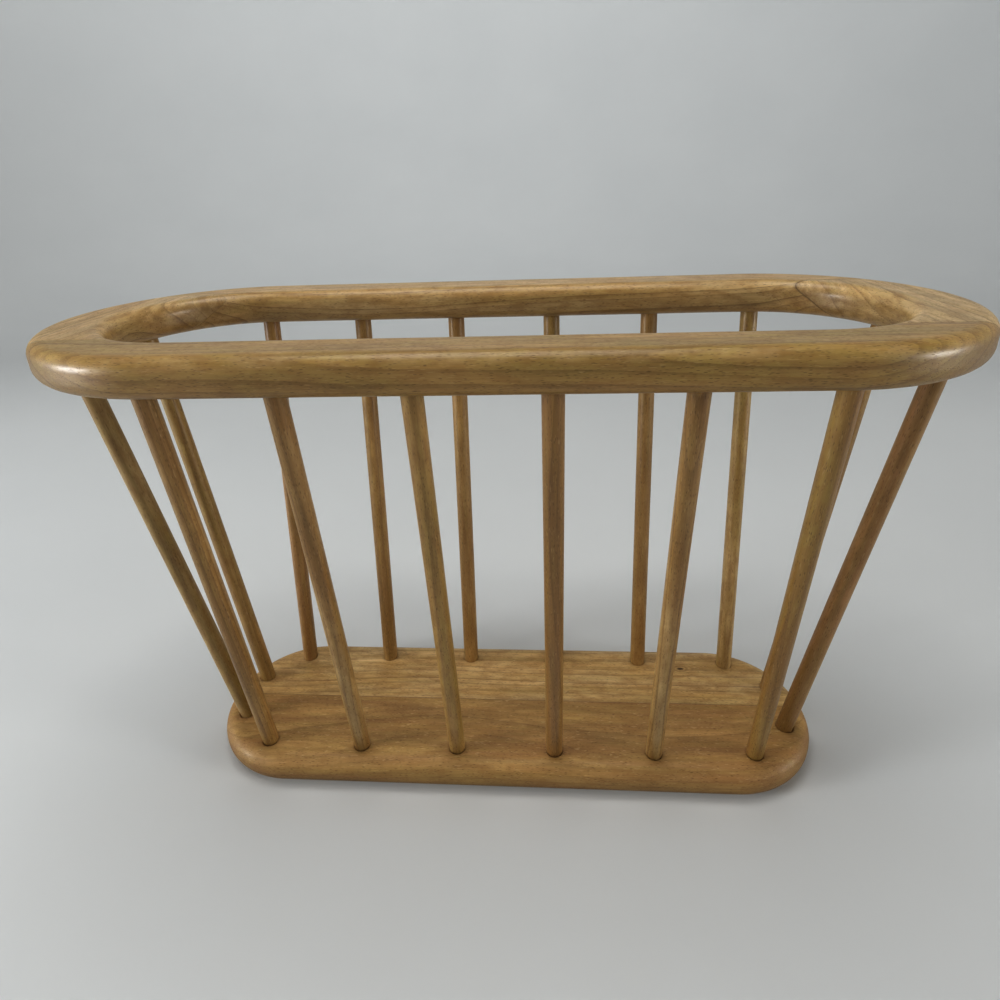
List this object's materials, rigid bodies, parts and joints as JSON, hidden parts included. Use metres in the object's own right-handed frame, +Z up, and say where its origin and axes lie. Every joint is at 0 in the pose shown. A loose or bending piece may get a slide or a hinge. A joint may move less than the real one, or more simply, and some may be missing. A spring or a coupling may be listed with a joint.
{
  "type": "magazine rack",
  "caption": "Free-standing wooden magazine rack: racetrack base board, a fence of outward-leaning round spindles and a rounded racetrack ring on top, open above.",
  "frame": {"origin": "on the floor, under the middle of the base board", "axes": "+X along the rack's length, +Y across it towards the back, +Z up"},
  "size_m": [0.46, 0.178, 0.282],
  "materials": {
    "ring_wood": "pale honey hardwood under clear satin lacquer",
    "base_wood": "pale honey hardwood under clear satin lacquer",
    "spindle_wood": "pale honey hardwood dowel under clear satin lacquer"
  },
  "bodies": {
    "root": {"front_rail": "ring_wood", "back_rail": "ring_wood", "left_end_piece": "ring_wood", "right_end_piece": "ring_wood", "base_front_board": "base_wood", "base_back_board": "base_wood", "front_spindle_1": "spindle_wood", "front_spindle_2": "spindle_wood", "front_spindle_3": "spindle_wood", "front_spindle_4": "spindle_wood", "front_spindle_5": "spindle_wood", "front_spindle_6": "spindle_wood", "back_spindle_1": "spindle_wood", "back_spindle_2": "spindle_wood", "back_spindle_3": "spindle_wood", "back_spindle_4": "spindle_wood", "back_spindle_5": "spindle_wood", "back_spindle_6": "spindle_wood", "left_end_front_spindle": "spindle_wood", "left_end_back_spindle": "spindle_wood", "right_end_front_spindle": "spindle_wood", "right_end_back_spindle": "spindle_wood"}
  },
  "joints": []
}
